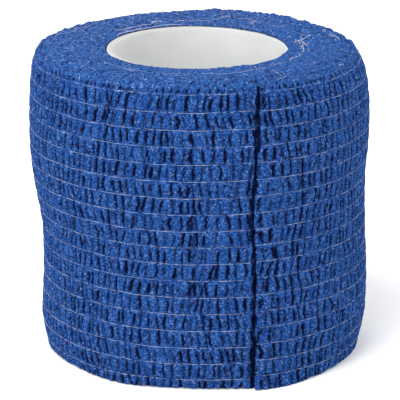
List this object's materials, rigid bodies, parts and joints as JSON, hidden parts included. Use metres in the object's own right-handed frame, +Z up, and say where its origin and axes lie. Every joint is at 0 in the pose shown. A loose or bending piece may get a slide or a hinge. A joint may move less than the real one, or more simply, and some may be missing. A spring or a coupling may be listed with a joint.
{
  "type": "cohesive bandage roll",
  "caption": "Roll of crinkled elastic cohesive cloth wound on a plain white plastic core tube, standing on its end with its cut end lapped at the front.",
  "frame": {"origin": "middle of the base on which the roll stands", "axes": "+Z up along the axis of the core, -Y towards the front, where the cut end of the cloth lies a little to the right"},
  "size_m": [0.0549, 0.0542, 0.05],
  "materials": {
    "crinkled_cloth": "matte crinkled nonwoven with fine pale elastic threads",
    "core_plastic": "smooth satin white"
  },
  "bodies": {
    "root": {"bandage_roll": "crinkled_cloth", "loose_end": "crinkled_cloth", "core_tube": "core_plastic"}
  },
  "joints": []
}
